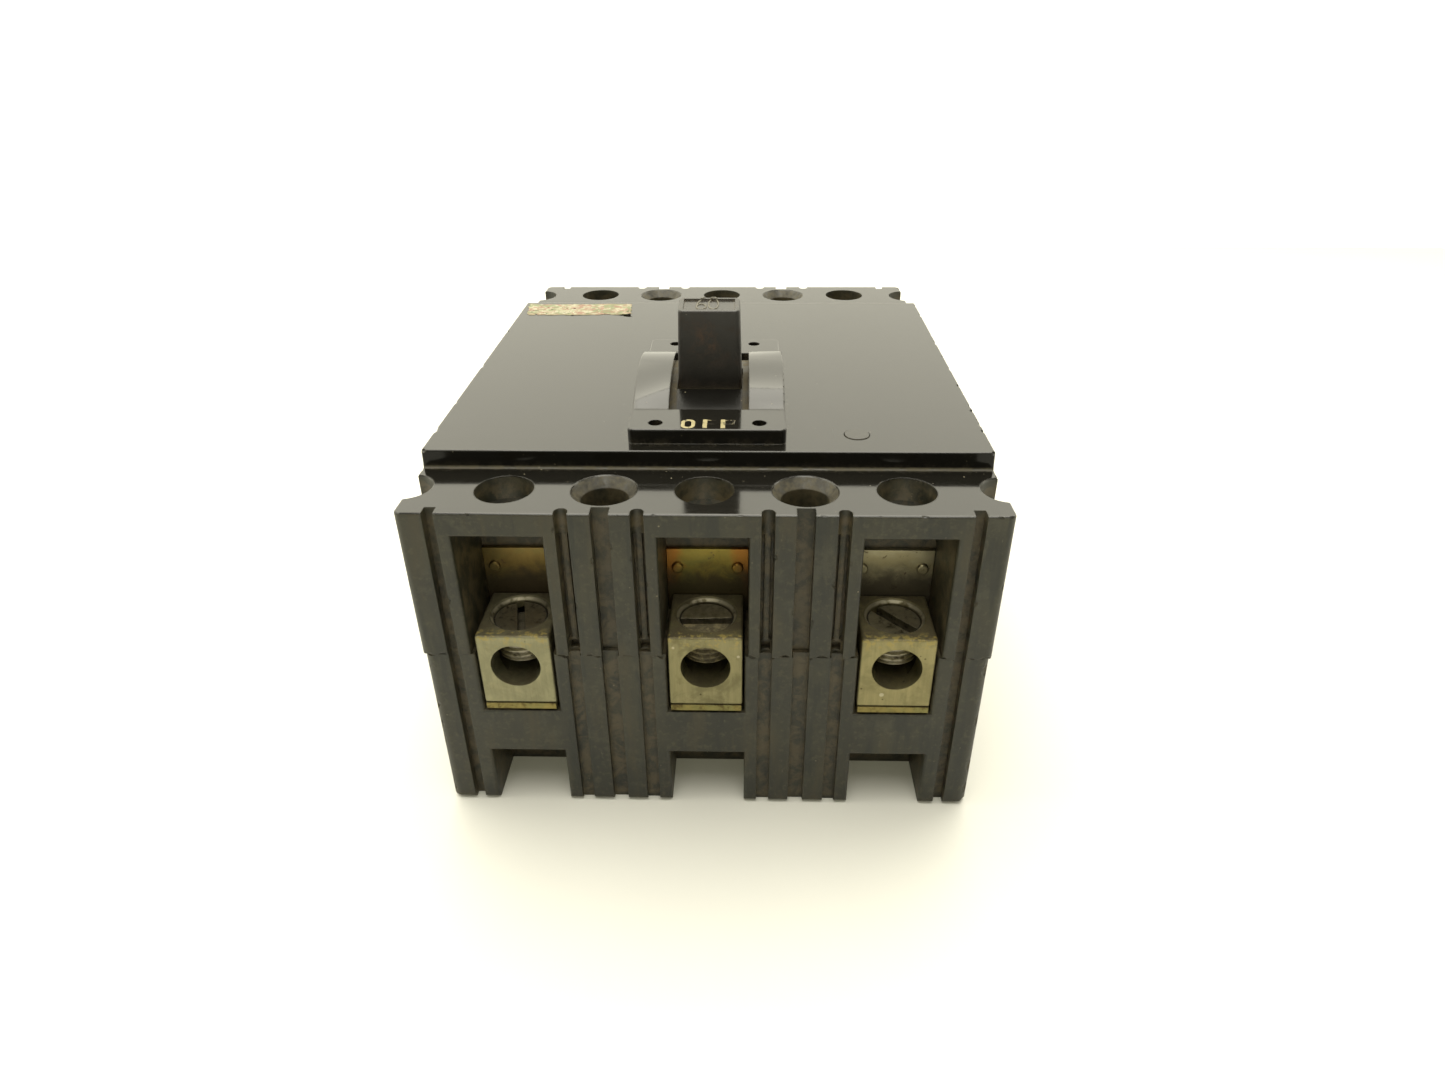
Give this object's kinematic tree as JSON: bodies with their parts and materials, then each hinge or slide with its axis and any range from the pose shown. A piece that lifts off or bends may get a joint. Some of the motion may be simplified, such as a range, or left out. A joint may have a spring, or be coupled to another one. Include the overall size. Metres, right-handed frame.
{
  "type": "molded case circuit breaker",
  "caption": "Molded case circuit breaker with toggle handle, screw lugs in end pockets, push-to-trip button and full internal toggle mechanism.",
  "frame": {"origin": "centre of the base's underside, the mounting plane", "axes": "+Z out of the mounting plane towards the handle, +Y along the poles towards the line (ON) end, +X across the poles"},
  "size_m": [0.113, 0.1524, 0.0981],
  "materials": {
    "phenolic_black": "molded thermoset, glossy on the top, matte and dusty on the ends",
    "phenolic_black_button": "molded thermoset",
    "handle_black": "satin, dusty in the corners",
    "shield_fibre": "dusty dark fibre sheet",
    "zinc_steel": "zinc plated",
    "spring_steel": "music wire",
    "copper": "copper strap",
    "brass_plate": "plated copper strap, dulled",
    "lug_aluminium": "satin, stained",
    "screw_aluminium": "satin, dirty",
    "yellow_zinc": "yellow chromate over zinc",
    "white_zinc": "dull zinc with rust spots",
    "phenolic_brown": "molded thermoset",
    "silver_contact": "silver alloy",
    "bimetal_strip": "rolled strip",
    "copper_braid": "braided wire",
    "arc_steel": "copper-flashed steel",
    "fibre_board": "vulcanised fibre",
    "label_paper": "torn, faded, blank"
  },
  "bodies": {
    "housing": {"base": "phenolic_black", "cover": "phenolic_black", "case_screws": "zinc_steel", "fixed_contacts": "silver_contact", "magnet_yokes": "zinc_steel", "bimetals": "bimetal_strip", "flexible_braids": "copper_braid", "mechanism_frame_left": "zinc_steel", "mechanism_frame_right": "zinc_steel", "frame_pins": "zinc_steel", "arc_plates": "arc_steel", "arc_chute_sides": "fibre_board", "trip_button_spring": "spring_steel", "trip_bar_spring": "spring_steel", "label_remnant": "label_paper", "load_lug_left": "lug_aluminium", "load_lug_centre": "lug_aluminium", "load_lug_right": "lug_aluminium", "line_lug_left": "lug_aluminium", "line_lug_centre": "lug_aluminium", "line_lug_right": "lug_aluminium", "load_terminal_left": "brass_plate", "load_terminal_centre": "brass_plate", "load_terminal_right": "brass_plate", "line_terminal_left": "copper", "line_terminal_centre": "copper", "line_terminal_right": "copper", "shield_plate_left": "yellow_zinc", "shield_plate_centre": "yellow_zinc", "shield_plate_right": "white_zinc"},
    "handle": {"handle": "handle_black", "dust_shield": "shield_fibre", "handle_lever": "zinc_steel", "spring_bar": "zinc_steel", "main_springs": "spring_steel"},
    "crossbar": {"crossbar": "phenolic_brown", "contact_arm_left": "copper", "contact_arm_centre": "copper", "contact_arm_right": "copper", "moving_contacts": "silver_contact", "contact_springs": "spring_steel", "crossbar_link_pin": "zinc_steel"},
    "lower_links": {"lower_links": "zinc_steel", "knee_pin": "zinc_steel"},
    "cradle": {"cradle": "zinc_steel", "cradle_link_pin": "zinc_steel"},
    "upper_links": {"upper_links": "zinc_steel"},
    "trip_bar": {"trip_bar": "phenolic_brown", "latch": "zinc_steel", "calibration_screws": "zinc_steel"},
    "trip_button": {"trip_button": "phenolic_black_button"},
    "armature_left": {"armature_left": "zinc_steel"},
    "armature_centre": {"armature_centre": "zinc_steel"},
    "armature_right": {"armature_right": "zinc_steel"},
    "load_lug_screw_left": {"load_lug_screw_left": "screw_aluminium"},
    "load_lug_screw_centre": {"load_lug_screw_centre": "screw_aluminium"},
    "load_lug_screw_right": {"load_lug_screw_right": "screw_aluminium"},
    "line_lug_screw_left": {"line_lug_screw_left": "screw_aluminium"},
    "line_lug_screw_centre": {"line_lug_screw_centre": "screw_aluminium"},
    "line_lug_screw_right": {"line_lug_screw_right": "screw_aluminium"}
  },
  "joints": [
    {"name": "handle_pivot", "type": "hinge", "parent": "housing", "child": "handle", "pos_m": [0, -0.026, 0.0482], "axis": [1, 0, 0], "range_deg": [-27.5, 12.5], "deforming": ["main_springs"]},
    {"name": "crossbar_pivot", "type": "hinge", "parent": "housing", "child": "crossbar", "pos_m": [0, -0.03, 0.027], "axis": [1, 0, 0], "range_deg": [-10.32, 4.7]},
    {"name": "lower_link_pivot", "type": "hinge", "parent": "crossbar", "child": "lower_links", "pos_m": [0, -0.02025, 0.03487], "axis": [1, 0, 0], "range_deg": [-0.5, 1.05]},
    {"name": "cradle_pivot", "type": "hinge", "parent": "housing", "child": "cradle", "pos_m": [0, -0.002, 0.058], "axis": [1, 0, 0], "range_deg": [-3.01, 0]},
    {"name": "upper_link_pivot", "type": "hinge", "parent": "cradle", "child": "upper_links", "pos_m": [0, -0.024, 0.06], "axis": [1, 0, 0], "range_deg": [-6.3, 13.9]},
    {"name": "trip_bar_pivot", "type": "hinge", "parent": "housing", "child": "trip_bar", "pos_m": [0, -0.044, 0.06], "axis": [1, 0, 0], "range_deg": [0, 12]},
    {"name": "trip_button_push", "type": "slide", "parent": "housing", "child": "trip_button", "axis": [0, 0, 1], "range_m": [-0.00106, 0], "deforming": ["trip_button_spring"]},
    {"name": "armature_left_pivot", "type": "hinge", "parent": "housing", "child": "armature_left", "pos_m": [-0.0381, -0.0471, 0.0466], "axis": [1, 0, 0], "range_deg": [-8.01, 0]},
    {"name": "armature_centre_pivot", "type": "hinge", "parent": "housing", "child": "armature_centre", "pos_m": [0, -0.0471, 0.0466], "axis": [1, 0, 0], "range_deg": [-8.01, 0]},
    {"name": "armature_right_pivot", "type": "hinge", "parent": "housing", "child": "armature_right", "pos_m": [0.0381, -0.0471, 0.0466], "axis": [1, 0, 0], "range_deg": [-8.01, 0]},
    {"name": "load_lug_screw_left_travel", "type": "slide", "parent": "housing", "child": "load_lug_screw_left", "axis": [0, 0, 1], "range_m": [-0.0024, 0.007]},
    {"name": "load_lug_screw_centre_travel", "type": "slide", "parent": "housing", "child": "load_lug_screw_centre", "axis": [0, 0, 1], "range_m": [-0.0024, 0.007]},
    {"name": "load_lug_screw_right_travel", "type": "slide", "parent": "housing", "child": "load_lug_screw_right", "axis": [0, 0, 1], "range_m": [-0.0024, 0.007]},
    {"name": "line_lug_screw_left_travel", "type": "slide", "parent": "housing", "child": "line_lug_screw_left", "axis": [0, 0, 1], "range_m": [-0.0051, 0]},
    {"name": "line_lug_screw_centre_travel", "type": "slide", "parent": "housing", "child": "line_lug_screw_centre", "axis": [0, 0, 1], "range_m": [-0.0051, 0]},
    {"name": "line_lug_screw_right_travel", "type": "slide", "parent": "housing", "child": "line_lug_screw_right", "axis": [0, 0, 1], "range_m": [-0.0051, 0]}
  ],
  "couplings": [
    {"joint": "crossbar_pivot", "follows": "handle_pivot", "ratio": 0.375},
    {"joint": "lower_link_pivot", "follows": "handle_pivot", "ratio": -0.0374},
    {"joint": "upper_link_pivot", "follows": "handle_pivot", "ratio": -0.5024},
    {"joint": "cradle_pivot", "follows": "trip_bar_pivot", "ratio": -0.25},
    {"joint": "trip_button_push", "follows": "trip_bar_pivot", "m_per_rad": -0.005},
    {"joint": "armature_left_pivot", "follows": "trip_bar_pivot", "ratio": -0.6667},
    {"joint": "armature_centre_pivot", "follows": "trip_bar_pivot", "ratio": -0.6667},
    {"joint": "armature_right_pivot", "follows": "trip_bar_pivot", "ratio": -0.6667}
  ]
}
